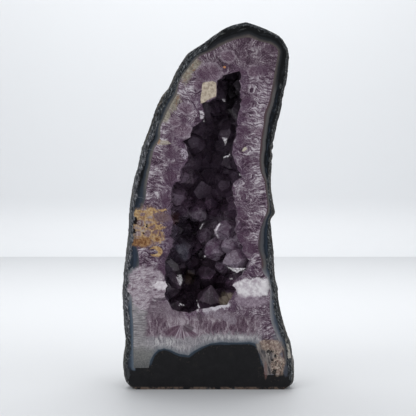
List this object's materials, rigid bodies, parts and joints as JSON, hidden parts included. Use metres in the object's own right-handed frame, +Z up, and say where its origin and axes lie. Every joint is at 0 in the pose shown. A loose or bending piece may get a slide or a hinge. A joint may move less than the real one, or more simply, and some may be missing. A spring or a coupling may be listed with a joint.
{
  "type": "amethyst geode",
  "caption": "Tall amethyst geode cut open down its front, with a rough rind, an agate band, a fibred crust and purple crystals, sawn flat to stand.",
  "frame": {"origin": "middle of the part's box, at the level of its flat base", "axes": "+Z up, the cut face looks along -Y, +X to the right when looking at the cut face"},
  "size_m": [0.1736, 0.1508, 0.3672],
  "materials": {
    "rind_stone": "rough basalt, polished with an agate band on the cut",
    "amethyst": "glassy crystals, polished on the cut"
  },
  "bodies": {
    "root": {"rind": "rind_stone", "amethyst_crust": "amethyst"}
  },
  "joints": []
}
